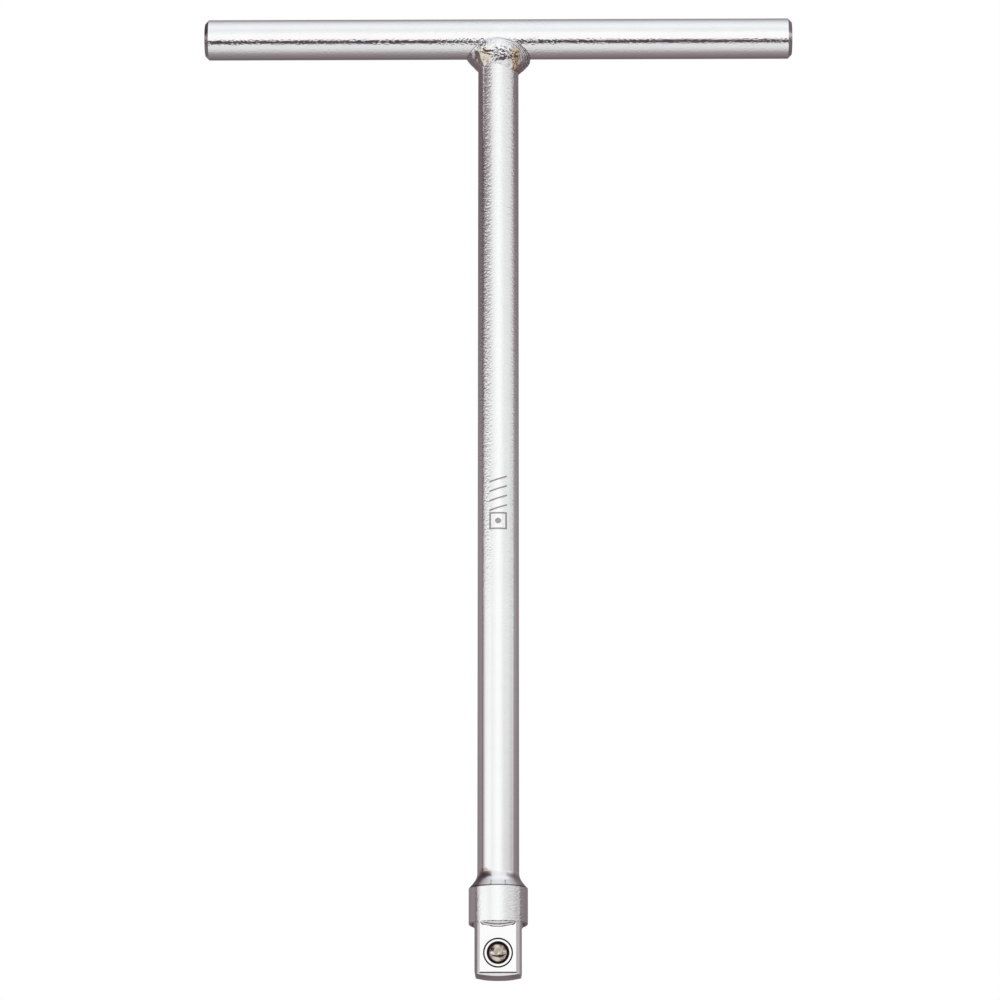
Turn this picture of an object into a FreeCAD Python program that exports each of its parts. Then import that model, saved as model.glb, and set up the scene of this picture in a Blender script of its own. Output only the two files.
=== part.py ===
import FreeCAD, Part
import math
import os
import re
import Sketcher

# A fixed T-handle wrench with a 3/8 in male square drive, in millimetres.
# Frame: origin at the centre of the drive's end face, +Z up the shaft to the cross bar,
# +X along the bar, and the detent ball on the -Y flat.

DRIVING_SIZES = (
    # cross bar
    ("bar_dia", 8.5, "diameter of the cross bar"),
    ("bar_length", 124.0, "length of the cross bar"),
    ("bar_end_chamfer", 0.8, "45 degree chamfer on each end of the bar"),
    ("bar_axis_height", 198.75, "height of the bar's axis above the drive's end face"),
    # shaft
    ("shaft_dia", 8.5, "diameter of the stem"),
    ("shaft_end_drop", 2.2, "how far the coped end of the stem stops below the bar's axis"),
    ("collar_dia", 12.0, "diameter of the collar"),
    ("collar_base_height", 10.9, "height of the collar's lower edge"),
    ("collar_top_height", 18.25, "height of the collar's upper edge"),
    ("cone_height", 2.09, "height of the cone from the collar up to the stem"),
    ("underside_slope", 0.40, "rise of the collar's conical underside per unit of radius"),
    ("cone_fillet", 3.0, "blend between the stem and the cone"),
    ("collar_top_break", 0.15, "edge break between the cone and the collar"),
    ("collar_base_round", 0.45, "rounding of the collar's lower edge"),
    ("drive_root_fillet", 0.6, "fillet between the flats and the collar's underside"),
    # square drive
    ("drive_size", 9.5, "distance across the flats, 3/8 in square"),
    ("corner_dia", 11.96, "diameter across the turned corners of the square"),
    ("lead_in_height", 0.9, "height of the lead-in chamfer on each flat"),
    ("lead_in_depth", 0.53, "depth of the lead-in chamfer on each flat"),
    ("lead_in_round", 1.6, "rounding where a flat turns into its lead-in"),
    ("end_flat_radius", 3.5, "radius of the flat middle of the end face"),
    ("end_crown_rise", 0.53, "rise of the turned crown from there out to the corners"),
    # detent
    ("ball_dia", 4.7625, "3/16 in detent ball"),
    ("ball_height", 4.8, "height of the ball's axis above the end face"),
    ("ball_running_gap", 0.049, "radial clearance between the ball and its hole"),
    ("ball_lip_gap", 0.02, "clearance between the ball at rest and the staked lip"),
    ("lip_radius", 1.985, "radius of the staked lip that keeps the ball in"),
    ("lip_depth", 0.3, "depth of the lip below the flat"),
    ("mouth_radius", 2.325, "radius of the hole's mouth at the flat"),
    ("seat_depth", 1.0, "depth at which the hole has widened to its full radius"),
    ("hole_depth", 7.0, "depth of the hole's full diameter below the flat"),
    ("drill_point_height", 1.46, "height of the 118 degree drill point"),
    ("stake_inner_radius", 2.70, "inner radius of the staking ring"),
    ("stake_outer_radius", 3.03, "outer radius of the staking ring"),
    ("stake_depth", 0.17, "depth of the staking ring"),
    # spring
    ("wire_dia", 0.45, "diameter of the spring wire"),
    ("spring_mean_radius", 1.775, "mean radius of the coil"),
    ("spring_turns", 4.5, "number of turns"),
    ("spring_fixed_depth", 7.12, "depth of the coil's inner end below the flat"),
    ("spring_length", 3.55, "length of the coil at rest, wire centre to wire centre"),
    # weld bead
    ("bead_shift", 0.25, "sideways shift of the bead towards +X"),
    ("bead_foot_height", 191.45, "height of the bead's lower edge on the stem"),
    # stamp
    ("stamp_depth", 0.15, "depth of the stamped mark"),
    ("stamp_stroke", 0.34, "width of the mark's strokes"),
    ("stamp_dot_radius", 0.6, "radius of the dot in the mark's square"),
    ("stamp_width", 3.6, "width of the mark across the stem"),
    ("stamp_base_height", 91.8, "height of the mark's lower end"),
    ("stamp_spacing", 2.0, "spacing of the slanted strokes along the stem"),
    ("stamp_rise", 1.2, "rise of each slanted stroke across the mark"),
)

DERIVED_SIZES = (
    ("bar_radius", "=bar_dia / 2"),
    ("shaft_radius", "=shaft_dia / 2"),
    ("shaft_end_height", "=bar_axis_height - shaft_end_drop"),
    ("collar_radius", "=collar_dia / 2"),
    ("cone_top_height", "=collar_top_height + cone_height"),
    ("underside_apex_height", "=collar_base_height - underside_slope * collar_radius"),
    ("drive_half", "=drive_size / 2"),
    ("corner_radius", "=corner_dia / 2"),
    ("corner_reach", "=sqrt(pow(corner_radius; 2) - pow(drive_half; 2))"),
    ("stake_middle_radius", "=(stake_inner_radius + stake_outer_radius) / 2"),
    ("ball_radius", "=ball_dia / 2"),
    ("hole_radius", "=ball_radius + ball_running_gap"),
    ("ball_centre_depth", "=lip_depth + sqrt(pow(ball_radius + ball_lip_gap; 2) - pow(lip_radius; 2))"),
    ("ball_centre_y", "=ball_centre_depth - drive_half"),
    ("spring_fixed_y", "=spring_fixed_depth - drive_half"),
    ("stamp_floor_radius", "=shaft_radius - stamp_depth"),
    ("stamp_half_width", "=stamp_width / 2"),
)

# Sections of the weld bead: height above its foot, half width along X, half width along Y.
BEAD_SECTIONS = (
    (0.0, 4.50, 4.30),
    (0.9, 4.95, 4.72),
    (2.0, 5.45, 4.90),
    (3.2, 6.20, 4.98),
    (4.4, 5.50, 4.88),
    (5.3, 4.90, 4.60),
    (6.0, 4.30, 4.22),
)

SLANTED_STROKES = 4
FULL_TURN = 360
DRIVE_FLATS = 4
TINY = 0.01

DOC = FreeCAD.newDocument("t_handle_wrench")


def write_sizes():
    """Every driving and derived size, each under its own alias."""
    sheet = DOC.addObject("Spreadsheet::Sheet", "Sizes")
    row = 1
    for alias, value, note in DRIVING_SIZES:
        sheet.set("A%d" % row, note)
        sheet.set("B%d" % row, str(value))
        sheet.setAlias("B%d" % row, alias)
        row += 1
    for alias, formula in DERIVED_SIZES:
        sheet.set("B%d" % row, formula)
        sheet.setAlias("B%d" % row, alias)
        row += 1
    DOC.recompute()
    return sheet


SIZES = write_sizes()


def size(expression):
    """The number a sheet expression stands for, used to draw a sketch near its final shape."""
    return float(SIZES.evalExpression(expression))


def bind(item, bindings):
    """Drive properties of an object from the sheet."""
    for path, expression in bindings.items():
        item.setExpression(path, on_sheet(expression))


def on_sheet(expression):
    """The same expression as seen from an object outside the sheet."""
    names = "|".join(entry[0] for entry in DRIVING_SIZES + DERIVED_SIZES)
    return re.sub(r"\b(%s)\b" % names, r"Sizes.\1", expression)


def new_body(label):
    body = DOC.addObject("PartDesign::Body", label)
    body.Label = label
    return body


def new_sketch(body, name, plane, offset=None):
    """A sketch on one of the body's own origin planes, moved within or off it if asked."""
    sketch = body.newObject("Sketcher::SketchObject", name)
    support = next(item for item in body.Origin.OriginFeatures if item.Role == plane)
    sketch.AttachmentSupport = [(support, "")]
    sketch.MapMode = "FlatFace"
    for axis, expression in (offset or {}).items():
        bind(sketch, {"AttachmentOffset.Base." + axis: expression})
    return sketch


def pin_point(sketch, element, point, axis, expression):
    """Hold one coordinate of a point at a sheet value measured from the sketch's origin."""
    if expression == "0":
        straight_axis = -2 if axis == "X" else -1
        sketch.addConstraint(Sketcher.Constraint("PointOnObject", element, point, straight_axis))
        return
    kind = "Distance" + axis
    index = sketch.addConstraint(
        Sketcher.Constraint(kind, -1, 1, element, point, size(expression))
    )
    name = "%s_%d_%d" % (axis.lower(), element, point)
    sketch.renameConstraint(index, name)
    bind(sketch, {"Constraints." + name: expression})


def draw_outline(sketch, corners):
    """A closed outline of straight lines whose corners are pairs of sheet expressions."""
    places = [FreeCAD.Vector(size(across), size(up), 0) for across, up in corners]
    count = len(places)
    lines = [
        sketch.addGeometry(Part.LineSegment(places[index], places[(index + 1) % count]), False)
        for index in range(count)
    ]
    for index, line in enumerate(lines):
        following = lines[(index + 1) % count]
        sketch.addConstraint(Sketcher.Constraint("Coincident", line, 2, following, 1))
    for line, (across, up) in zip(lines, corners):
        pin_point(sketch, line, 1, "X", across)
        pin_point(sketch, line, 1, "Y", up)


def draw_circle(sketch, across, up, radius):
    """A circle whose centre and radius are sheet expressions."""
    centre = FreeCAD.Vector(size(across), size(up), 0)
    element = sketch.addGeometry(
        Part.Circle(centre, FreeCAD.Vector(0, 0, 1), size(radius)), False
    )
    pin_point(sketch, element, 3, "X", across)
    pin_point(sketch, element, 3, "Y", up)
    index = sketch.addConstraint(Sketcher.Constraint("Radius", element, size(radius)))
    sketch.renameConstraint(index, "radius_%d" % element)
    bind(sketch, {"Constraints.radius_%d" % element: radius})


def draw_turned_square(sketch, half, radius, reach):
    """A square with its corners left as arcs of a circle; reach is half of a flat's width."""
    flat = size(half)
    edge = size(reach)
    span = math.atan2(flat, edge) - math.atan2(edge, flat)
    circle = Part.Circle(FreeCAD.Vector(0, 0, 0), FreeCAD.Vector(0, 0, 1), size(radius))
    for turn in range(DRIVE_FLATS):
        angle = turn * math.pi / 2
        rotate = FreeCAD.Rotation(FreeCAD.Vector(0, 0, 1), math.degrees(angle))
        start = rotate.multVec(FreeCAD.Vector(flat, -edge, 0))
        end = rotate.multVec(FreeCAD.Vector(flat, edge, 0))
        sketch.addGeometry(Part.LineSegment(start, end), False)
        first = angle + math.atan2(edge, flat)
        sketch.addGeometry(Part.ArcOfCircle(circle, first, first + span), False)
    count = 2 * DRIVE_FLATS
    for line in range(0, count, 2):
        arc = line + 1
        sketch.addConstraint(Sketcher.Constraint("Coincident", line, 2, arc, 1))
        sketch.addConstraint(Sketcher.Constraint("Coincident", arc, 2, (arc + 1) % count, 1))
        sketch.addConstraint(Sketcher.Constraint("Coincident", arc, 3, -1, 1))
    for line, across in ((0, half), (4, "-" + half)):
        sketch.addConstraint(Sketcher.Constraint("Vertical", line))
        pin_point(sketch, line, 1, "X", across)
    for line, up in ((2, half), (6, "-" + half)):
        sketch.addConstraint(Sketcher.Constraint("Horizontal", line))
        pin_point(sketch, line, 1, "Y", up)
    for arc in (3, 5, 7):
        sketch.addConstraint(Sketcher.Constraint("Equal", 1, arc))
    index = sketch.addConstraint(Sketcher.Constraint("Radius", 1, size(radius)))
    sketch.renameConstraint(index, "corner_radius")
    bind(sketch, {"Constraints.corner_radius": radius})


def add_feature(body, kind, name, sketch=None):
    feature = body.newObject("PartDesign::" + kind, name)
    if sketch is not None:
        feature.Profile = sketch
        sketch.Visibility = False
    return feature


def dress_edges(body, kind, name, chosen, bindings):
    """A fillet or chamfer on those edges of the body's tip that the test picks."""
    DOC.recompute()
    base = body.Tip
    names = [
        "Edge%d" % number
        for number, edge in enumerate(base.Shape.Edges, start=1)
        if chosen(edge)
    ]
    if not names:
        raise RuntimeError(name + " found no edges")
    feature = add_feature(body, kind, name)
    feature.Base = (base, names)
    bind(feature, bindings)
    return feature


def farthest_reach(edge):
    """How far the middle of an edge lies from the shaft's axis, measured square to a flat."""
    middle = edge.valueAt((edge.FirstParameter + edge.LastParameter) / 2)
    return max(abs(middle.x), abs(middle.y))


def is_level_circle(edge, height, radius):
    """Whether an edge is an arc around the shaft's axis at this height and radius."""
    if edge.Curve.TypeId != "Part::GeomCircle":
        return False
    centre = edge.Curve.Center
    on_axis = math.hypot(centre.x, centre.y) < TINY
    return on_axis and abs(centre.z - height) < TINY and abs(edge.Curve.Radius - radius) < TINY


def make_handle_bar():
    """A round rod along X with a chamfer on each end."""
    body = new_body("handle_bar")
    sketch = new_sketch(body, "bar_section", "YZ_Plane")
    draw_circle(sketch, "0", "bar_axis_height", "bar_radius")
    pad = add_feature(body, "Pad", "bar_rod", sketch)
    pad.SideType = "Symmetric"
    bind(pad, {"Length": "bar_length"})
    dress_edges(
        body,
        "Chamfer",
        "bar_ends",
        lambda edge: edge.Curve.TypeId == "Part::GeomCircle",
        {"Size": "bar_end_chamfer"},
    )
    return body


def turn_shaft_blank(body):
    """Stem, cone and collar as one turned profile, with the conical underside."""
    sketch = new_sketch(body, "turned_profile", "XZ_Plane")
    draw_outline(
        sketch,
        (
            ("0", "underside_apex_height"),
            ("collar_radius", "collar_base_height"),
            ("collar_radius", "collar_top_height"),
            ("shaft_radius", "cone_top_height"),
            ("shaft_radius", "shaft_end_height"),
            ("0", "shaft_end_height"),
        ),
    )
    turned = add_feature(body, "Revolution", "turned_blank", sketch)
    turned.ReferenceAxis = (sketch, ["V_Axis"])
    turned.Angle = FULL_TURN
    for name, height, radius, blend in (
        ("collar_base_edge", "collar_base_height", "collar_radius", "collar_base_round"),
        ("collar_top_edge", "collar_top_height", "collar_radius", "collar_top_break"),
        ("cone_blend", "cone_top_height", "shaft_radius", "cone_fillet"),
    ):
        level = size(height)
        reach = size(radius)
        dress_edges(
            body,
            "Fillet",
            name,
            lambda edge: is_level_circle(edge, level, reach),
            {"Radius": blend},
        )


def mill_square_drive(body):
    """The square below the collar, its corners left as turned, with a fillet at its root."""
    section = new_sketch(body, "square_section", "XY_Plane")
    draw_turned_square(section, "drive_half", "corner_radius", "corner_reach")
    pad = add_feature(body, "Pad", "square_drive", section)
    bind(pad, {"Length": "collar_top_height"})
    root_low = size("underside_apex_height")
    root_high = size("collar_base_height + collar_base_round")
    dress_edges(
        body,
        "Fillet",
        "drive_root",
        lambda edge: root_low < edge.CenterOfMass.z < root_high
        and abs(farthest_reach(edge) - size("drive_half")) < TINY,
        {"Radius": "drive_root_fillet"},
    )


def bevel_drive_tip(body):
    """A crown turned on the end face and a rounded lead-in on each flat."""
    ring = new_sketch(body, "end_crown_profile", "XZ_Plane")
    draw_outline(
        ring,
        (
            ("end_flat_radius", "0"),
            ("corner_radius", "end_crown_rise"),
            ("collar_radius", "end_crown_rise"),
            ("collar_radius", "0"),
        ),
    )
    groove = add_feature(body, "Groove", "end_crown", ring)
    groove.ReferenceAxis = (ring, ["V_Axis"])
    groove.Angle = FULL_TURN

    wedge = new_sketch(body, "lead_in_profile", "XZ_Plane")
    draw_outline(
        wedge,
        (
            ("drive_half", "lead_in_height"),
            ("drive_half - lead_in_depth", "0"),
            ("collar_radius", "0"),
            ("collar_radius", "lead_in_height"),
        ),
    )
    lead_in = add_feature(body, "Pocket", "lead_in", wedge)
    lead_in.SideType = "Symmetric"
    bind(lead_in, {"Length": "2 * collar_dia"})
    pattern = add_feature(body, "PolarPattern", "lead_ins")
    pattern.Originals = [lead_in]
    pattern.Axis = (wedge, ["V_Axis"])
    pattern.Angle = FULL_TURN
    pattern.Occurrences = DRIVE_FLATS
    body.Tip = pattern
    dress_edges(
        body,
        "Fillet",
        "lead_in_edges",
        lambda edge: edge.Curve.TypeId == "Part::GeomLine"
        and abs(edge.CenterOfMass.z - size("lead_in_height")) < TINY,
        {"Radius": "lead_in_round"},
    )


def bore_detent(body):
    """The ball's hole with its staked lip, and the ring the staking punch left."""
    hole = new_sketch(body, "hole_profile", "YZ_Plane", {"y": "ball_height"})
    draw_outline(
        hole,
        (
            ("-drive_half - lip_depth", "0"),
            ("-drive_half - lip_depth", "mouth_radius"),
            ("-drive_half", "mouth_radius"),
            ("lip_depth - drive_half", "lip_radius"),
            ("seat_depth - drive_half", "hole_radius"),
            ("hole_depth - drive_half", "hole_radius"),
            ("hole_depth + drill_point_height - drive_half", "0"),
        ),
    )
    ring = new_sketch(body, "stake_profile", "YZ_Plane", {"y": "ball_height"})
    draw_outline(
        ring,
        (
            ("-drive_half", "stake_inner_radius"),
            ("stake_depth - drive_half", "stake_middle_radius"),
            ("-drive_half", "stake_outer_radius"),
        ),
    )
    for name, sketch in (("detent_hole", hole), ("staking_ring", ring)):
        groove = add_feature(body, "Groove", name, sketch)
        groove.ReferenceAxis = (sketch, ["H_Axis"])
        groove.Angle = FULL_TURN


def cope_shaft_end(body):
    """The hollow that seats the bar across the top of the stem."""
    saddle = new_sketch(body, "saddle_section", "YZ_Plane")
    draw_circle(saddle, "0", "bar_axis_height", "bar_radius")
    pocket = add_feature(body, "Pocket", "saddle", saddle)
    pocket.SideType = "Symmetric"
    bind(pocket, {"Length": "2 * shaft_dia"})


def make_stamp():
    """A generic square-drive mark and slanted strokes, as a skin on the stem's surface."""
    sketch = DOC.addObject("Sketcher::SketchObject", "stamp_outline")
    upright = FreeCAD.Rotation(FreeCAD.Vector(1, 0, 0), 90)
    sketch.Placement = FreeCAD.Placement(FreeCAD.Vector(0, 0, 0), upright)
    for inset in ("", " - stamp_stroke"):
        right = "stamp_half_width" + inset
        left = "-(%s)" % right
        top = "stamp_base_height + stamp_width" + inset
        bottom = "stamp_base_height" + inset.replace("-", "+")
        draw_outline(sketch, ((left, bottom), (right, bottom), (right, top), (left, top)))
    draw_circle(sketch, "0", "stamp_base_height + stamp_half_width", "stamp_dot_radius")
    for step in range(1, SLANTED_STROKES + 1):
        low = "stamp_base_height + stamp_half_width + %d * stamp_spacing" % step
        draw_outline(
            sketch,
            (
                ("-stamp_half_width", low),
                ("stamp_half_width", low + " + stamp_rise"),
                ("stamp_half_width", low + " + stamp_rise + stamp_stroke"),
                ("-stamp_half_width", low + " + stamp_stroke"),
            ),
        )
    prism = DOC.addObject("Part::Extrusion", "stamp_prism")
    prism.Base = sketch
    prism.DirMode = "Custom"
    prism.Dir = FreeCAD.Vector(0, -1, 0)
    prism.Solid = True
    bind(prism, {"LengthFwd": "shaft_dia"})
    floor = upright_cylinder("stamp_floor", "stamp_floor_radius", "bar_axis_height")
    return cut("stamp_skin", prism, floor)


def upright_cylinder(name, radius, height):
    """A cylinder around the shaft's axis, standing on the frame's origin."""
    cylinder = DOC.addObject("Part::Cylinder", name)
    bind(cylinder, {"Radius": radius, "Height": height})
    return cylinder


def cut(name, base, tool):
    result = DOC.addObject("Part::Cut", name)
    result.Base = base
    result.Tool = tool
    return result


def make_shaft():
    """The one-piece stem, collar and square drive."""
    body = new_body("shaft_blank")
    turn_shaft_blank(body)
    mill_square_drive(body)
    bevel_drive_tip(body)
    bore_detent(body)
    cope_shaft_end(body)
    shaft = cut("shaft", body, make_stamp())
    shaft.Label = "shaft"
    return shaft


def make_weld_bead():
    """Filler metal lofted round the joint, with the bar and the stem taken out of it."""
    sections = []
    for number, (rise, half_x, half_y) in enumerate(BEAD_SECTIONS):
        ellipse = DOC.addObject("Part::Ellipse", "bead_section_%d" % number)
        ellipse.MajorRadius = half_x
        ellipse.MinorRadius = half_y
        bind(
            ellipse,
            {
                "Placement.Base.x": "bead_shift",
                "Placement.Base.z": "bead_foot_height + %s" % rise,
            },
        )
        sections.append(ellipse)
    loft = DOC.addObject("Part::Loft", "bead_loft")
    loft.Sections = sections
    loft.Solid = True
    bar_envelope = DOC.addObject("Part::Cylinder", "bar_envelope")
    bar_envelope.Placement.Rotation = FreeCAD.Rotation(FreeCAD.Vector(0, 1, 0), 90)
    bind(
        bar_envelope,
        {
            "Radius": "bar_radius",
            "Height": "bar_length",
            "Placement.Base.x": "-bar_length / 2",
            "Placement.Base.z": "bar_axis_height",
        },
    )
    stem_envelope = upright_cylinder("stem_envelope", "shaft_radius", "shaft_end_height")
    above_bar = cut("bead_off_bar", loft, bar_envelope)
    bead = cut("weld_bead", above_bar, stem_envelope)
    bead.Label = "weld_bead"
    return bead


def make_detent_ball():
    ball = DOC.addObject("Part::Sphere", "detent_ball")
    ball.Label = "detent_ball"
    bind(
        ball,
        {
            "Radius": "ball_radius",
            "Placement.Base.y": "ball_centre_y",
            "Placement.Base.z": "ball_height",
        },
    )
    return ball


def make_detent_spring():
    """A coil wound along its own Z axis, then laid in the hole pointing at the ball."""
    body = new_body("detent_spring")
    wire = new_sketch(body, "wire_section", "XZ_Plane")
    draw_circle(wire, "spring_mean_radius", "0", "wire_dia / 2")
    coil = add_feature(body, "AdditiveHelix", "coil", wire)
    coil.ReferenceAxis = (wire, ["V_Axis"])
    coil.Mode = "height-turns-angle"
    bind(coil, {"Height": "spring_length", "Turns": "spring_turns"})
    body.Placement.Rotation = FreeCAD.Rotation(FreeCAD.Vector(1, 0, 0), 90)
    bind(body, {"Placement.Base.y": "spring_fixed_y", "Placement.Base.z": "ball_height"})
    return body


def main():
    pieces = [
        make_handle_bar(),
        make_shaft(),
        make_weld_bead(),
        make_detent_ball(),
        make_detent_spring(),
    ]
    DOC.recompute()
    for item in DOC.Objects:
        if "Invalid" in item.State or "Error" in item.State:
            raise RuntimeError("%s did not build: %s" % (item.Name, item.getStatusString()))
    os.makedirs("parts", exist_ok=True)
    for piece in pieces:
        shape = piece.Shape
        if shape.isNull() or not shape.isValid() or len(shape.Solids) != 1:
            raise RuntimeError(piece.Label + " is not one valid solid")
        shape.exportStep("parts/%s.step" % piece.Label)


main()
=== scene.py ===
import math

import bpy
import numpy as np
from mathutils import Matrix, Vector, noise


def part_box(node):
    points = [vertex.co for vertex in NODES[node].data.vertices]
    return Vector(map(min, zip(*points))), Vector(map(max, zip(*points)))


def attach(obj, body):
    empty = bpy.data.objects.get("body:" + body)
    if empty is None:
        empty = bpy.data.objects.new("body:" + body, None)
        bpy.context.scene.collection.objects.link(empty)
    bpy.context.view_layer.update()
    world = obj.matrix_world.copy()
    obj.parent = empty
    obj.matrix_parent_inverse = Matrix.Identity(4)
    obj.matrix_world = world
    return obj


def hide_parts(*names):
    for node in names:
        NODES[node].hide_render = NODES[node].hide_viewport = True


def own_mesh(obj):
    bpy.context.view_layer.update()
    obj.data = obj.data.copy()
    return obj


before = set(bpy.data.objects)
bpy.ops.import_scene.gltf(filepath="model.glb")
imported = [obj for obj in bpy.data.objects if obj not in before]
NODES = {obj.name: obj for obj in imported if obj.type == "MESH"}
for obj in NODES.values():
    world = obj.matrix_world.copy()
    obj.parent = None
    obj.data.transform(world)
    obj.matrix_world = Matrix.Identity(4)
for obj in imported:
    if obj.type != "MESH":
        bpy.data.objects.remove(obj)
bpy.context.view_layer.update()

MM = 0.001

# --- sizes read from the frame ------------------------------------------------------------

BAR_LOW, BAR_HIGH = (Vector(corner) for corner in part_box("handle_bar"))
BAR_RADIUS = (BAR_HIGH.z - BAR_LOW.z) / 2
BAR_AXIS_HEIGHT = (BAR_HIGH.z + BAR_LOW.z) / 2
BEAD_LOW = Vector(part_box("weld_bead")[0])
SPRING_LOW, SPRING_HIGH = (Vector(corner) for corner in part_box("detent_spring"))
BALL_LOW, BALL_HIGH = (Vector(corner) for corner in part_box("detent_ball"))


def stem_radius():
    """The stem's radius, from the shaft's own points in its upper half."""
    middle = BAR_LOW.z / 2
    return max(
        math.hypot(vertex.co.x, vertex.co.y)
        for vertex in NODES["shaft"].data.vertices
        if vertex.co.z > middle
    )


STEM_RADIUS = stem_radius()
BALL_AXIS_HEIGHT = (BALL_LOW.z + BALL_HIGH.z) / 2

# Heights above the tip between which the shaft has a mark, a painted shade line or a finish of its
# own. The peel coarsens through the upper stem, and again towards the weld.
COLLAR_UNDERSIDE = (10.25 * MM, 10.88 * MM)
COLLAR_SPAN = (10.5 * MM, 18.5 * MM)
COLLAR_TOP_LINE = (18.28 * MM, 18.52 * MM)
STAMP_SPAN = (91.5 * MM, 106.5 * MM)
UPPER_STEM = (55 * MM, 100 * MM)
TOWARDS_WELD = (120 * MM, 192 * MM)

# The front flat's y, the painted shade line under the collar as distances from the axis, and how
# far the painted shade round the ball reaches from its centre and below the flat. The stamped
# mark's depths are below the stem's surface, and the bar's coarser peel ends between these
# distances from its middle.
FRONT_FLAT = -4.75 * MM
COLLAR_ROOT_LINE = (5.00 * MM, 5.35 * MM)
BALL_SHADE_REACH = 3.3 * MM
BALL_SHADE_DEPTHS = (0.01 * MM, 0.05 * MM)
STAMP_DEPTHS = (0.03 * MM, 0.09 * MM)
COARSE_BAR_ENDS = (6.0 * MM, 16.0 * MM)

# The brown oval's centre and size in x and z.
BROWN_OVAL_CENTRE = (-2.7 * MM, 21.3 * MM)
BROWN_OVAL_SIZE = (1.3 * MM, 0.9 * MM)

# The weld's tints: where each lies in x, where both fade out going up, and how far they wander.
STRAW_SPAN = (-4.7 * MM, -1.9 * MM)
TAN_SPAN = (2.8 * MM, 4.6 * MM)
TINT_FADE = (BAR_AXIS_HEIGHT - 4.4 * MM, BAR_AXIS_HEIGHT - 3.0 * MM)
TINT_DRIFT = 2.2 * MM

# Widths over which marks fade at their edges, and the height of the coarsest orange peel.
LINE_BLUR = 0.05 * MM
STAMP_BLUR = 0.2 * MM
COLLAR_BLUR = 0.5 * MM
TINT_BLUR = 0.5 * MM
PEEL_HEIGHT = 0.05 * MM

# --- camera: below the tool and a little to its right, looking up ---------------------------

CAMERA_DISTANCE = 873.5 * MM
CAMERA_ELEVATION = -12.697
CAMERA_AZIMUTH = 0.562
CAMERA_LENS = 152.33
CAMERA_TARGET = Vector((0.35, 0.0045, 98.87)) * MM


# --- a small kit for writing node trees ----------------------------------------------------


class Graph:
    """Adds nodes to a tree and joins them as they are written."""

    def __init__(self, tree):
        self.tree = tree
        tree.nodes.clear()

    def node(self, kind, inputs=None, **settings):
        made = self.tree.nodes.new(kind)
        for name, value in settings.items():
            setattr(made, name, value)
        for name, value in (inputs or {}).items():
            self.feed(made.inputs[name], value)
        return made

    def feed(self, socket, value):
        if isinstance(value, bpy.types.NodeSocket):
            self.tree.links.new(value, socket)
        else:
            socket.default_value = value

    def math(self, operation, *values, clamp=False):
        made = self.node("ShaderNodeMath", operation=operation, use_clamp=clamp)
        for socket, value in zip(made.inputs, values):
            self.feed(socket, value)
        return made.outputs[0]

    def product(self, value, *factors):
        for factor in factors:
            value = self.math("MULTIPLY", value, factor)
        return value

    def total(self, value, *others):
        for other in others:
            value = self.math("ADD", value, other)
        return value

    def less(self, loss):
        """What is left of 1 after a loss."""
        return self.math("SUBTRACT", 1.0, loss)

    def length(self, across, up):
        """The length of the plane vector with these two parts."""
        squares = self.total(self.math("POWER", across, 2.0), self.math("POWER", up, 2.0))
        return self.math("SQRT", squares)

    def fit(self, value, low, high, start=0.0, end=1.0):
        """Eases from start to end as the value goes from low to high."""
        made = self.node("ShaderNodeMapRange", interpolation_type="SMOOTHSTEP")
        for name, item in zip(
            ("Value", "From Min", "From Max", "To Min", "To Max"), (value, low, high, start, end)
        ):
            self.feed(made.inputs[name], item)
        return made.outputs[0]

    def ramp(self, value, stops):
        """A colour ramp over stops of (position, colour or brightness)."""
        made = self.node("ShaderNodeValToRGB", {"Fac": value})
        band = made.color_ramp
        while len(band.elements) < len(stops):
            band.elements.new(0.5)
        for element, (place, colour) in zip(band.elements, stops):
            element.position = place
            shade = (colour,) * 3 if isinstance(colour, float) else tuple(colour)
            element.color = (*shade, 1.0)
        return made.outputs["Color"]

    def noise(self, vector, scale, detail=2.0, roughness=0.5):
        made = self.node(
            "ShaderNodeTexNoise",
            {"Vector": vector, "Scale": scale, "Detail": detail, "Roughness": roughness},
        )
        return made.outputs["Fac"]

    def stretch(self, vector, factors):
        """Multiplies a vector or a colour part by part."""
        made = self.node("ShaderNodeVectorMath", {0: vector, 1: factors}, operation="MULTIPLY")
        return made.outputs[0]

    def mix(self, factor, low, high):
        """Mixes two colours. The mix node's colour sockets have to be taken by number."""
        made = self.node("ShaderNodeMix", data_type="RGBA")
        for socket, value in zip((0, 6, 7), (factor, low, high)):
            self.feed(made.inputs[socket], value)
        return made.outputs[2]

    def bump(self, height, strength, distance, normal=None):
        made = self.node(
            "ShaderNodeBump", {"Height": height, "Strength": strength, "Distance": distance}
        )
        if normal is not None:
            self.feed(made.inputs["Normal"], normal)
        return made.outputs[0]


def linear(*shades):
    """Display values from 0 to 255 as linear light."""

    def one(shade):
        part = shade / 255
        return part / 12.92 if part <= 0.04045 else ((part + 0.055) / 1.055) ** 2.4

    return tuple(one(shade) for shade in shades)


# --- studio --------------------------------------------------------------------------------

# How bright the studio looks from the tool, as display values. Up-and-over angles run in the
# upright plane through the camera: 0 is level towards the camera, 90 overhead, 180 behind.
OVERHEAD_SWEEP = (
    (-180, 122),
    (-158, 106),
    (-138, 126),
    (-118, 135),
    (-98, 160),
    (-88, 188),
    (-78, 209),
    (-66, 223),
    (-43, 227),
    (-38.5, 84),
    (-23, 60),
    (-19.5, 235),
    (-14, 250),
    (5, 251),
    (15, 252),
    (25, 243),
    (38, 236),
    (60, 247),
    (80, 238),
    (98, 216),
    (112, 189),
    (140, 164),
    (165, 150),
    (180, 140),
)

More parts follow.
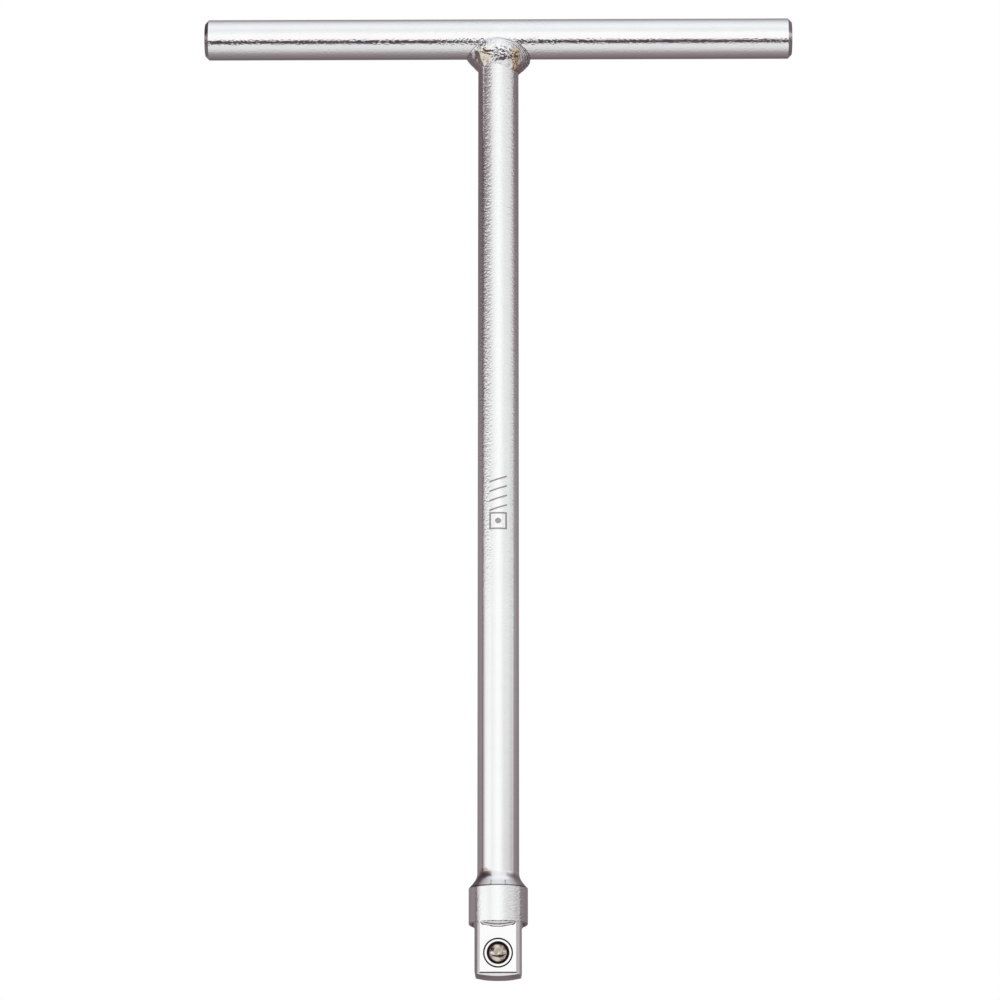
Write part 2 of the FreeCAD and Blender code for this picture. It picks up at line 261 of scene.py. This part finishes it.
# The same sweep for a camera standing above the tool: a bright table and one dark horizon.
OVERHEAD_SWEEP_FROM_ABOVE = (
    (-180, 150),
    (-150, 162),
    (-120, 190),
    (-90, 220),
    (-60, 242),
    (-25, 250),
    (-8, 240),
    (-3, 200),
    (2, 112),
    (10, 104),
    (16, 180),
    (35, 226),
    (60, 242),
    (90, 236),
    (120, 208),
    (150, 176),
    (180, 150),
)


def rise_between(low, high):
    """The heights of two directions, given as degrees above the horizon."""
    return math.sin(math.radians(low)), math.sin(math.radians(high))


# How high the camera stands while the first sweep gives way to the second.
CAMERA_RISE = rise_between(-8, 6)

# Shares of that brightness round the sides: 0 is towards the camera, minus is to its left.
SIDE_SWEEP = (
    (-180, 0.93),
    (-136, 0.89),
    (-120, 0.90),
    (-106, 0.87),
    (-95, 0.62),
    (-90, 0.70),
    (-84, 0.83),
    (-75, 0.985),
    (-62, 0.99),
    (-47, 0.98),
    (-34, 0.95),
    (-11, 1.00),
    (0, 1.01),
    (11, 1.00),
    (23, 0.955),
    (34, 0.925),
    (60, 0.93),
    (73, 0.92),
    (84, 0.90),
    (95, 0.92),
    (120, 0.93),
    (136, 0.88),
    (180, 0.93),
)

# What the sides lose as the direction rises above the horizon.
SIDE_LOSS = (
    (-180, 0.15),
    (-108, 0.42),
    (-90, 0.54),
    (-75, 0.52),
    (-60, 0.36),
    (-45, 0.21),
    (-33, 0.03),
    (0, 0.0),
    (70, 0.0),
    (76, 0.14),
    (86, 0.24),
    (106, 0.28),
    (130, 0.22),
    (180, 0.15),
)
LOSS_RISE = rise_between(12.2, 17.8)

# What the right side loses as the direction sinks to the horizon.
LOW_LOSS = (
    (-180, 0.0),
    (0, 0.0),
    (18, 0.03),
    (60, 0.14),
    (73, 0.21),
    (88, 0.18),
    (110, 0.12),
    (180, 0.0),
)
LOW_FALL = rise_between(6, 12)

# Dark flags standing above the horizon on each side of the camera: how much light they take.
FLAGS = (
    (-180, 0.10),
    (-150, 0.35),
    (-120, 0.50),
    (-80, 0.50),
    (-52, 0.50),
    (-40, 0.0),
    (40, 0.0),
    (60, 0.25),
    (100, 0.32),
    (140, 0.20),
    (180, 0.10),
)
FLAG_RISE = rise_between(19, 26)
FLAG_TOP = rise_between(40, 56)

# Tint of the studio at each brightness: mauve-grey shadows, neutral highlights.
STUDIO_TINT = (
    (0.00, linear(6, 0, 3)),
    (0.30, linear(82, 71, 76)),
    (0.47, linear(124, 114, 118)),
    (0.57, linear(149, 140, 144)),
    (0.70, linear(181, 175, 177)),
    (0.84, linear(214, 214, 215)),
    (0.92, linear(234, 235, 235)),
    (1.00, linear(255, 255, 255)),
)

WHITE = (1.0, 1.0, 1.0, 1.0)

# The light from overhead is slightly cooler.
SKY_RISE = rise_between(15, 60)
SKY_TINT = (0.973, 0.992, 1.02, 1.0)


def turn_stops(sweep, scale=1.0):
    """Ramp stops for a sweep of angles from -180 to 180 degrees."""
    return [(angle / 360 + 0.5, float(value) * scale) for angle, value in sweep]


def build_world():
    """A light tent that keeps the same face to the camera whichever way it looks."""
    world = bpy.data.worlds.new("studio_tent")
    bpy.context.scene.world = world
    world.use_nodes = True
    g = Graph(world.node_tree)
    ray = g.node("ShaderNodeTexCoord").outputs["Generated"]
    ray = g.node("ShaderNodeSeparateXYZ", {0: ray}).outputs
    towards = g.node("ShaderNodeVectorTransform", {0: (0, 0, -1)}, vector_type="VECTOR")
    towards.convert_from = "CAMERA"
    towards.convert_to = "WORLD"
    towards = g.node("ShaderNodeSeparateXYZ", {0: towards.outputs[0]}).outputs
    level = g.length(towards[0], towards[1])
    ahead_x = g.math("DIVIDE", towards[0], level)
    ahead_y = g.math("DIVIDE", towards[1], level)
    ahead = g.total(g.product(ray[0], ahead_x), g.product(ray[1], ahead_y))
    aside = g.math("SUBTRACT", g.product(ray[1], ahead_x), g.product(ray[0], ahead_y))

    def turned(side, forward):
        """The direction's angle, as a place from 0 to 1 along a sweep's ramp."""
        angle = g.math("ARCTAN2", side, forward)
        return g.total(g.math("DIVIDE", angle, 2 * math.pi), 0.5)

    over = turned(ray[2], ahead)
    overhead = g.mix(
        g.fit(towards[2], *CAMERA_RISE),
        g.ramp(over, turn_stops(OVERHEAD_SWEEP, 1 / 255)),
        g.ramp(over, turn_stops(OVERHEAD_SWEEP_FROM_ABOVE, 1 / 255)),
    )
    round_side = turned(aside, ahead)
    sides = g.product(g.ramp(round_side, turn_stops(SIDE_SWEEP, 0.5)), 2.0)
    loss = g.product(g.ramp(round_side, turn_stops(SIDE_LOSS)), g.fit(ray[2], *LOSS_RISE))
    low_loss = g.ramp(round_side, turn_stops(LOW_LOSS))
    low_loss = g.product(low_loss, g.fit(ray[2], *LOW_FALL, 1.0, 0.0))
    flag = g.product(g.fit(ray[2], *FLAG_RISE), g.fit(ray[2], *FLAG_TOP, 1.0, 0.0))
    flag = g.product(flag, g.ramp(round_side, turn_stops(FLAGS)))
    sides = g.product(sides, g.less(loss), g.less(low_loss))
    flatness = g.less(g.math("POWER", ray[2], 2.0))
    sides = g.total(1.0, g.product(g.math("SUBTRACT", sides, 1.0), flatness))
    sides = g.product(sides, g.less(flag))
    brightness = g.math("MULTIPLY", overhead, sides, clamp=True)
    tent = g.ramp(brightness, STUDIO_TINT)
    cool = g.mix(g.fit(ray[2], *SKY_RISE), WHITE, SKY_TINT)
    tent = g.stretch(tent, cool)

    path = g.node("ShaderNodeLightPath").outputs
    seen = g.mix(path["Is Glossy Ray"], WHITE, tent)
    background = g.node("ShaderNodeBackground", {"Color": seen, "Strength": 1.0})
    output = g.node("ShaderNodeOutputWorld")
    g.feed(output.inputs["Surface"], background.outputs[0])


def build_camera():
    camera = bpy.data.objects.new("camera", bpy.data.cameras.new("camera"))
    bpy.context.scene.collection.objects.link(camera)
    azimuth = math.radians(CAMERA_AZIMUTH)
    elevation = math.radians(CAMERA_ELEVATION)
    back = Vector(
        (
            math.sin(azimuth) * math.cos(elevation),
            -math.cos(azimuth) * math.cos(elevation),
            math.sin(elevation),
        )
    )
    camera.location = CAMERA_TARGET + back * CAMERA_DISTANCE
    camera.rotation_euler = (-back).to_track_quat("-Z", "Y").to_euler()
    camera.data.lens = CAMERA_LENS
    camera.data.sensor_width = 36
    camera.data.clip_start = 0.01
    camera.data.clip_end = 20
    bpy.context.scene.camera = camera


def build_floor():
    """A pale floor just under the tip, seen only from above and left out of the chrome."""
    half = 1.5
    gap = 0.02 * MM
    mesh = bpy.data.meshes.new("floor")
    corners = [(-half, -half, 0), (half, -half, 0), (half, half, 0), (-half, half, 0)]
    mesh.from_pydata(corners, [], [(0, 1, 2, 3)])
    floor = bpy.data.objects.new("floor", mesh)
    bpy.context.scene.collection.objects.link(floor)
    floor.location.z = -gap
    floor.visible_glossy = False
    mesh.materials.append(pale_paint())


def pale_paint():
    """Faintly mottled paint that can be seen through from its back."""
    material, g = new_material("pale_floor")
    place = g.node("ShaderNodeTexCoord").outputs["Object"]
    shades = [(0.3, linear(233, 233, 234)), (0.7, linear(238, 238, 238))]
    mottle = g.ramp(g.noise(place, 9.0, 4.0), shades)
    front = g.node("ShaderNodeBsdfDiffuse", {"Color": mottle}).outputs[0]
    clear = g.node("ShaderNodeBsdfTransparent").outputs[0]
    underneath = g.node("ShaderNodeNewGeometry").outputs["Backfacing"]
    either = g.node("ShaderNodeMixShader", {0: underneath, 1: front, 2: clear})
    output = g.node("ShaderNodeOutputMaterial")
    g.feed(output.inputs["Surface"], either.outputs[0])
    return material


def build_lamp():
    """One wide soft lamp overhead, for a faint shadow on the floor."""
    lamp = bpy.data.lights.new("soft_lamp", "AREA")
    lamp.shape = "DISK"
    lamp.size = 0.9
    lamp.energy = 3.0
    lit = bpy.data.objects.new("soft_lamp", lamp)
    bpy.context.scene.collection.objects.link(lit)
    lit.location = (-0.5, -0.6, 1.4)
    aim = Vector((0.5, 0.6, -1.3))
    lit.rotation_euler = aim.to_track_quat("-Z", "Y").to_euler()
    lit.visible_glossy = False


# --- materials -----------------------------------------------------------------------------

# Painted shade for the hollows round the ball.
BALL_HOLLOW_SHADE = (0.035, 0.028, 0.03, 1.0)
# Painted shade for the thin dark lines above and under the collar.
SHADE_LINE_TONE = (0.08, 0.065, 0.07, 1.0)
STAMPED = (0.22, 0.205, 0.21, 1.0)
OVAL_BROWN = (0.40, 0.22, 0.20, 1.0)
CLEAN_FILLER = (0.985, 0.98, 0.98, 1.0)
STRAW = (0.97, 0.85, 0.62, 1.0)
DARK_TAN = (0.62, 0.41, 0.24)
LIGHT_TAN = (0.94, 0.71, 0.44)
# Painted shade for the weld's seam against the bar, its ripples' troughs and its pocks.
BEAD_SHADE_TONE = (0.10, 0.09, 0.10, 1.0)


def new_material(name):
    material = bpy.data.materials.new(name)
    material.use_nodes = True
    return material, Graph(material.node_tree)


def finish_metal(g, colour, roughness, normal):
    """Closes a material with a bare metal surface."""
    shader = g.node(
        "ShaderNodeBsdfPrincipled",
        {"Base Color": colour, "Metallic": 1.0, "Roughness": roughness, "Normal": normal},
    )
    output = g.node("ShaderNodeOutputMaterial")
    g.feed(output.inputs["Surface"], shader.outputs[0])


def roughened_normal(g, place, layers):
    """Orange peel in layers of (noise scale, steepness as a share of the full bump)."""
    normal = None
    for scale, steepness in layers:
        normal = g.bump(g.noise(place, scale, 1.0), steepness, PEEL_HEIGHT, normal)
    return normal


def plated_colour(g, place):
    """The plating's own colour, clouded very slightly."""
    cloud = g.noise(place, 160.0, 3.0)
    return g.ramp(cloud, [(0.3, (0.975, 0.972, 0.975)), (0.7, (0.998, 0.998, 0.998))])


def plated_roughness(g, place):
    """The plating's polish, slightly uneven."""
    return g.fit(g.noise(place, 420.0, 3.0), 0.3, 0.7, 0.04, 0.10)


def bar_chrome():
    """Chrome over drawn bar: orange peel all along, coarser by the weld."""
    material, g = new_material("bar_chrome")
    place = g.node("ShaderNodeTexCoord").outputs["Object"]
    x = g.node("ShaderNodeSeparateXYZ", {0: place}).outputs[0]
    by_weld = g.fit(g.math("ABSOLUTE", x), *COARSE_BAR_ENDS, 1.0, 0.0)
    coarse = g.total(0.05, g.product(by_weld, 0.45))
    fine = g.total(0.85, g.product(by_weld, 0.5))
    normal = roughened_normal(g, place, ((1200.0, coarse), (2500.0, fine)))
    finish_metal(g, plated_colour(g, place), plated_roughness(g, place), normal)
    return material


def in_range(g, value, low, high, blur):
    """1 while the value lies between low and high, easing to 0 over the blur on each side."""
    above = g.fit(value, low - blur, low + blur)
    below = g.fit(value, high - blur, high + blur, 1.0, 0.0)
    return g.product(above, below)


def painted_shade_lines(g, x, y, z):
    """Fine painted shade lines: one above the collar, one in the corner under it."""
    above = in_range(g, z, *COLLAR_TOP_LINE, LINE_BLUR)
    reach = g.math("MAXIMUM", g.math("ABSOLUTE", x), g.math("ABSOLUTE", y))
    under = in_range(g, reach, *COLLAR_ROOT_LINE, LINE_BLUR)
    under = g.product(under, in_range(g, z, *COLLAR_UNDERSIDE, LINE_BLUR))
    return g.math("MAXIMUM", above, under)


def ball_hollow_shade(g, x, y, z):
    """Painted shade in the hollows round the ball, below the front flat's face."""
    from_ball = g.length(x, g.math("SUBTRACT", z, BALL_AXIS_HEIGHT))
    around_ball = g.math("LESS_THAN", from_ball, BALL_SHADE_REACH)
    sunk = g.fit(y, *(FRONT_FLAT + depth for depth in BALL_SHADE_DEPTHS))
    return g.product(sunk, around_ball, g.math("LESS_THAN", y, 0.0))


def stamped_in(g, x, y, z):
    """The bottoms of the mark stamped in the stem."""
    shallow, deep = (STEM_RADIUS - depth for depth in STAMP_DEPTHS)
    hollow = g.fit(g.length(x, y), deep, shallow, 1.0, 0.0)
    return g.product(hollow, in_range(g, z, *STAMP_SPAN, STAMP_BLUR))


def brown_oval(g, place, x, y, z):
    """A streaked oval on the front, where the cone meets the stem."""
    mark_x = g.math("DIVIDE", g.math("SUBTRACT", x, BROWN_OVAL_CENTRE[0]), BROWN_OVAL_SIZE[0])
    mark_z = g.math("DIVIDE", g.math("SUBTRACT", z, BROWN_OVAL_CENTRE[1]), BROWN_OVAL_SIZE[1])
    streaks = g.noise(g.stretch(place, (1.0, 1.0, 0.35)), 1500.0, 2.0)
    edge = g.total(g.length(mark_x, mark_z), g.math("SUBTRACT", streaks, 0.5))
    return g.product(g.fit(edge, 0.5, 1.2, 0.6, 0.0), g.math("LESS_THAN", y, 0.0))


def shaft_peel(g, place, z):
    """Orange peel on the shaft: rough by the weld and on the collar, smooth in between."""
    upper = g.fit(z, *UPPER_STEM)
    by_weld = g.fit(z, *TOWARDS_WELD)
    collar = in_range(g, z, *COLLAR_SPAN, COLLAR_BLUR)
    fine = g.total(0.05, g.product(upper, 0.60), g.product(by_weld, 0.15))
    fine = g.total(fine, g.product(collar, 0.55))
    coarse = g.total(0.08, g.product(upper, 0.18))
    return roughened_normal(g, place, ((800.0, coarse), (2300.0, fine)))


def shaft_chrome():
    """Chrome over a drawn stem and a turned drive.

    Painted shade darkens the ball's lip and the staking ring, and a brown streaked oval is painted
    where the cone meets the stem.
    """
    material, g = new_material("shaft_chrome")
    place = g.node("ShaderNodeTexCoord").outputs["Object"]
    x, y, z = g.node("ShaderNodeSeparateXYZ", {0: place}).outputs
    # Painted shade in the hollows round the ball's lip and the staking ring.
    ball_shade = ball_hollow_shade(g, x, y, z)
    colour = g.mix(ball_shade, plated_colour(g, place), BALL_HOLLOW_SHADE)
    # Painted shade lines above the collar and in the corner under it.
    colour = g.mix(g.product(painted_shade_lines(g, x, y, z), 0.85), colour, SHADE_LINE_TONE)
    colour = g.mix(g.product(stamped_in(g, x, y, z), 0.8), colour, STAMPED)
    # A brown streaked oval painted where the cone meets the stem.
    colour = g.mix(brown_oval(g, place, x, y, z), colour, OVAL_BROWN)
    roughness = g.total(plated_roughness(g, place), g.product(ball_shade, 0.3))
    finish_metal(g, colour, roughness, shaft_peel(g, place, z))
    return material


def weld_metal():
    """Rippled filler under the plating, with straw and brown heat tint on its flanks and painted
    shade in its seam and ripples.
    """
    material, g = new_material("weld_metal")
    place = g.node("ShaderNodeTexCoord").outputs["Object"]
    x, y, z = g.node("ShaderNodeSeparateXYZ", {0: place}).outputs
    blotch = g.noise(place, 800.0, 3.0)
    drift = g.product(g.math("SUBTRACT", blotch, 0.5), TINT_DRIFT)
    side = g.total(x, drift)
    low = g.fit(g.total(z, drift), *TINT_FADE, 1.0, 0.0)
    left = g.product(in_range(g, side, *STRAW_SPAN, TINT_BLUR), low)
    right = g.product(in_range(g, side, *TAN_SPAN, TINT_BLUR), low)
    streaks = g.fit(g.noise(place, 1100.0, 2.0), 0.35, 0.60, 0.35, 0.85)
    colour = g.mix(g.product(left, streaks), CLEAN_FILLER, STRAW)
    browned = g.ramp(g.noise(place, 1400.0, 3.0), [(0.35, DARK_TAN), (0.65, LIGHT_TAN)])
    colour = g.mix(g.product(right, 0.85), colour, browned)
    # Painted shade in the seam against the bar and in the ripples' troughs and pocks.
    painted_bead_shade = g.node("ShaderNodeAttribute", attribute_name="painted_bead_shade").outputs["Fac"]
    colour = g.mix(g.product(painted_bead_shade, 0.75), colour, BEAD_SHADE_TONE)
    normal = g.bump(g.noise(place, 3200.0, 3.0), 0.8, 0.03 * MM)
    roughness = g.fit(blotch, 0.3, 0.7, 0.06, 0.16)
    finish_metal(g, colour, roughness, normal)
    return material


def ball_steel():
    """Polished bearing steel with fine pitting; its clouded brown colour is painted reflection."""
    material, g = new_material("ball_steel")
    place = g.node("ShaderNodeTexCoord").outputs["Object"]
    pits = g.noise(place, 1500.0, 2.0)
    cloud = g.noise(place, 1300.0, 3.0)
    # Painted reflection: the colour clouds from dark brown to pale tan, standing in for the warm
    # and dark tones the ball mirrors.
    colour = g.ramp(cloud, [(0.38, (0.30, 0.23, 0.18)), (0.60, (0.88, 0.80, 0.70))])
    normal = g.bump(pits, 0.6, 0.03 * MM)
    roughness = g.fit(cloud, 0.3, 0.7, 0.05, 0.12)
    finish_metal(g, colour, roughness, normal)
    return material


def spring_steel():
    """Oiled spring wire with the fine marks of drawing."""
    material, g = new_material("spring_steel")
    place = g.node("ShaderNodeTexCoord").outputs["Object"]
    marks = g.noise(g.stretch(place, (1.0, 4.0, 1.0)), 3000.0, 3.0)
    colour = g.ramp(marks, [(0.3, (0.20, 0.20, 0.21)), (0.7, (0.42, 0.41, 0.42))])
    normal = g.bump(marks, 0.4, 0.01 * MM)
    finish_metal(g, colour, g.fit(marks, 0.3, 0.7, 0.2, 0.35), normal)
    return material


def paint(piece, material):
    """Gives every face of a piece this one material."""
    piece.data.materials.clear()
    piece.data.materials.append(material)


# --- meshes --------------------------------------------------------------------------------


def mesh_piece(name, points, faces):
    """A smooth-shaded object made of these points and faces."""
    mesh = bpy.data.meshes.new(name)
    mesh.from_pydata([tuple(point) for point in points], [], faces)
    mesh.shade_smooth()
    mesh.update()
    made = bpy.data.objects.new(name, mesh)
    bpy.context.scene.collection.objects.link(made)
    return made


def ring_mesh(name, rings):
    """A closed tube through rings of points, each ring closed and the last joined to the first."""
    rings = np.asarray(rings)
    count, around = rings.shape[:2]
    faces = []
    for row in range(count):
        here, following = row * around, (row + 1) % count * around
        for column in range(around):
            beside = (column + 1) % around
            faces.append((here + column, following + column, following + beside, here + beside))
    return mesh_piece(name, rings.reshape(-1, 3), faces)


# --- the weld bead, in millimetres ----------------------------------------------------------

BEAD_STEPS_ROUND = 540
BEAD_STEPS_ACROSS = 64
STEM_R = STEM_RADIUS / MM
BAR_R = BAR_RADIUS / MM
BAR_Z = BAR_AXIS_HEIGHT / MM
FOOT_Z = BEAD_LOW.z / MM
BEAD_TOP_TURN = math.radians(78)
BEAD_SAG = 0.71
SKIN_INSET = 0.03
SUNK = 0.35
FULLEST = 0.66
SEAM_ROWS = 5

# Directions round the stem: 0 is +X, -90 the front, 180 the left.
FOOT_RISE = (
    (-180, 0.25),
    (-137, 0.25),
    (-114, 0.80),
    (-90, 0.45),
    (-62, -0.15),
    (-43, -0.55),
    (0, -0.30),
    (90, 0.10),
    (180, 0.25),
)
BEAD_REACH = (
    (-180, 6.75),
    (-150, 6.6),
    (-90, 6.3),
    (-40, 6.6),
    (0, 6.72),
    (90, 6.3),
    (180, 6.75),
)
BEAD_BULGE = (
    (-180, 0.10),
    (-150, 0.30),
    (-108, 1.50),
    (-75, 1.68),
    (0, 0.60),
    (90, 0.70),
    (140, 0.45),
    (180, 0.10),
)

# The weld pool's ripples spread from this x and z. Each band of them has a middle and a width.
RIPPLE_CENTRE = (0.9, FOOT_Z + 0.6)
INNER_PITCH = 0.85
INNER_BAND = (2.9, 0.8)
CORE_BAND = (1.6, 0.8)
OUTER_PITCH = 0.52
OUTER_BAND = (5.3, 1.1)
POCKS_X = (-3.3, 1.3)
POCKS_Z = (FOOT_Z + 5.1, 1.0)


def along(table, angle):
    """Reads a table of (angle, value) pairs with eased steps between them."""
    for (low, start), (high, end) in zip(table, table[1:]):
        if angle <= high:
            share = (angle - low) / (high - low)
            share = share * share * (3 - 2 * share)
            return start + (end - start) * share
    return table[-1][1]


def hill(value, centre, width):
    """A smooth rise to 1 at the centre."""
    return math.exp(-(((value - centre) / width) ** 2))


def limited(value):
    """The value kept between 0 and 1."""
    return min(1.0, max(0.0, value))


def bead_marks(point):
    """The weld pool's marks at a point: inner and outer ripples, then how pocked it is."""
    x, _, z = point
    spot = Vector(point)
    reach = math.hypot(x - RIPPLE_CENTRE[0], z - RIPPLE_CENTRE[1])
    drift = noise.noise(spot * 0.9) * 0.45 + noise.noise(spot * 2.0) * 0.35
    broken = limited(0.55 + 2.5 * noise.noise(spot * 1.6))
    strength = (hill(reach, *INNER_BAND) + 0.15 * hill(reach, *CORE_BAND)) * broken
    inner = math.sin(2 * math.pi * (reach + drift) / INNER_PITCH) * strength
    inner *= 1.0 if x > -0.8 else 0.45
    strength = hill(reach, *OUTER_BAND) * limited((x - 0.5) / 2)
    outer = math.sin(2 * math.pi * (reach + 0.4 * drift) / OUTER_PITCH) * strength
    pocked = hill(x, *POCKS_X) * hill(z, *POCKS_Z)
    return inner, outer, pocked


def bead_skin(point):
    """How far the cooled weld pool stands off its smooth shape at a point."""
    spot = Vector(point)
    inner, outer, pocked = bead_marks(point)
    front = 1.0 if spot.y < 0 else 0.7
    ripples = (0.075 * inner + 0.065 * outer) * front
    lumps = noise.noise(spot * 1.3) * 0.06 + noise.noise(spot * 3.1) * 0.015
    rough = 0.006 + 0.08 * abs(inner) + 0.17 * pocked
    return ripples + lumps + noise.noise(spot * 3.2) * rough


def trough_shade(point):
    """How much painted shade lies at a point: in the ripples' troughs and the deeper pocks."""
    inner, outer, pocked = bead_marks(point)
    pock = limited(-6 * noise.noise(Vector(point) * 2.6) - 0.3) * pocked
    troughs = max(0.0, -1.3 * inner) + max(0.0, -1.3 * outer)
    return min(1.0, troughs + pock)


def bead_swell(share):
    """The bead's outline from foot to head: fullest two thirds of the way, then a steep end."""
    if share < FULLEST:
        return math.sin(math.pi / 2 * share / FULLEST) ** 0.95
    return math.cos(math.pi / 2 * (share - FULLEST) / (1 - FULLEST)) ** 0.6


def bead_ring(turn):
    """The bead's cross-section in one direction: its skin from foot to head, then its inside."""
    angle = math.radians(turn)
    cosine, sine = math.cos(angle), math.sin(angle)
    foot = Vector((STEM_R * cosine, STEM_R * sine, FOOT_Z + along(FOOT_RISE, turn)))
    wobble = noise.noise(foot * 0.8)
    foot.z += 0.12 * noise.noise(foot * 1.7)
    lean = BEAD_TOP_TURN * sine * (1 + 0.03 * wobble)
    reach = (along(BEAD_REACH, turn) + 0.15 * wobble) * cosine
    head = Vector((reach, BAR_R * math.sin(lean), BAR_Z - BAR_R * math.cos(lean)))
    outward = Vector((cosine, sine, -BEAD_SAG * cosine * cosine)).normalized()
    bulge = along(BEAD_BULGE, turn)
    ring = []
    for row in range(BEAD_STEPS_ACROSS + 1):
        share = row / BEAD_STEPS_ACROSS
        stand_off = bulge * bead_swell(share) - SKIN_INSET
        ring.append(foot.lerp(head, share) + outward * stand_off)
    foot_inside = Vector((foot.x, foot.y, 0)).normalized() * (STEM_R - SUNK)
    foot_inside.z = foot.z + SUNK / 2
    shrink = (BAR_R - SUNK) / BAR_R
    head_inside = Vector((head.x * (1 - SUNK / STEM_R), head.y * shrink, head.z))
    head_inside.z = BAR_Z + (head.z - BAR_Z) * shrink
    return ring + [head_inside, foot_inside.lerp(head_inside, 0.5), foot_inside]


def bead_rings():
    """Cross-sections all round the stem."""
    rings = [bead_ring(360 * step / BEAD_STEPS_ROUND - 180) for step in range(BEAD_STEPS_ROUND)]
    return roughen_bead(np.array([[tuple(point) for point in ring] for ring in rings]))


def roughen_bead(rings):
    """Moves the outer skin of the bead in and out along its own normals."""
    round_way = np.roll(rings, -1, axis=0) - np.roll(rings, 1, axis=0)
    across_way = np.roll(rings, -1, axis=1) - np.roll(rings, 1, axis=1)
    normals = np.cross(round_way, across_way)
    normals /= np.linalg.norm(normals, axis=2, keepdims=True)
    moved = rings.copy()
    for step in range(rings.shape[0]):
        for row in range(1, BEAD_STEPS_ACROSS):
            from_edge = min(row, BEAD_STEPS_ACROSS - row) / BEAD_STEPS_ACROSS
            fade = min(1.0, 14 * from_edge)
            moved[step, row] += normals[step, row] * bead_skin(rings[step, row]) * fade
    return moved


def bead_shade(row, point):
    """How much painted shade the bead has at a point: in the seam against the bar and in the
    ripples' troughs and pocks.
    """
    seam = 1 - max(0, BEAD_STEPS_ACROSS - row) / SEAM_ROWS
    return max(seam, trough_shade(point))


def build_bead():
    """The weld bead, which takes the place of the plain CAD ring."""
    rings = bead_rings()
    bead = ring_mesh("weld_bead_skin", rings * MM)
    # The painted shade is stored on the bead's points.
    painted_bead_shade = bead.data.attributes.new("painted_bead_shade", "FLOAT", "POINT")
    shades = [bead_shade(row, point) for ring in rings for row, point in enumerate(ring)]
    painted_bead_shade.data.foreach_set("value", shades)
    paint(bead, weld_metal())
    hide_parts("weld_bead")
    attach(bead, "wrench")


# --- the detent spring --------------------------------------------------------------------

WIRE_RADIUS = 0.225 * MM
WIRE_END_RISE = 0.4 * WIRE_RADIUS
SPRING_TURNS = 4.5
COIL_STEPS_PER_TURN = 48
WIRE_STEPS = 18


def tube_mesh(name, centres, radius, steps, end_rise):
    """A round wire swept along a line of points, each end closed by a shallow cone."""
    count = len(centres)
    points, faces = [], []
    for index, centre in enumerate(centres):
        ahead = (centres[min(index + 1, count - 1)] - centres[max(index - 1, 0)]).normalized()
        side = ahead.cross(Vector((0, 1, 0))).normalized()
        lift = ahead.cross(side)
        for step in range(steps):
            turn = 2 * math.pi * step / steps
            points.append(centre + (side * math.cos(turn) + lift * math.sin(turn)) * radius)
    for index in range(count - 1):
        for step in range(steps):
            beside = (step + 1) % steps
            low, high = index * steps, (index + 1) * steps
            faces.append((low + step, low + beside, high + beside, high + step))
    for index, inward in ((0, 1), (count - 1, -1)):
        tip = len(points)
        outward = (centres[index] - centres[index + inward]).normalized()
        points.append(centres[index] + outward * end_rise)
        for step in range(steps):
            near = index * steps + step
            far = index * steps + (step + 1) % steps
            faces.append((tip, far, near) if inward == 1 else (tip, near, far))
    return mesh_piece(name, points, faces)


def coil_centres(fixed_y, free_y, mean_radius):
    """Points along the coil's wire, from its fixed end to the end behind the ball."""
    steps = int(SPRING_TURNS * COIL_STEPS_PER_TURN)
    centres = []
    for index in range(steps + 1):
        share = index / steps
        turn = 2 * math.pi * SPRING_TURNS * share
        y = fixed_y + (free_y - fixed_y) * share
        z = BALL_AXIS_HEIGHT + mean_radius * math.sin(turn)
        centres.append(Vector((mean_radius * math.cos(turn), y, z)))
    return centres


def build_spring():
    """The coil behind the ball, fixed at the bottom of its hole."""
    fixed_y = SPRING_HIGH.y - WIRE_RADIUS
    free_y = SPRING_LOW.y + WIRE_RADIUS
    mean_radius = (SPRING_HIGH.x - SPRING_LOW.x) / 2 - WIRE_RADIUS
    centres = coil_centres(fixed_y, free_y, mean_radius)
    spring = tube_mesh("detent_coil", centres, WIRE_RADIUS, WIRE_STEPS, WIRE_END_RISE)
    paint(spring, spring_steel())
    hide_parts("detent_spring")
    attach(spring, "wrench")
    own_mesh(spring)


build_world()
build_camera()
build_floor()
build_lamp()
bpy.context.scene.view_settings.view_transform = "Standard"

paint(NODES["handle_bar"], bar_chrome())
paint(NODES["shaft"], shaft_chrome())
paint(NODES["detent_ball"], ball_steel())
build_bead()
build_spring()
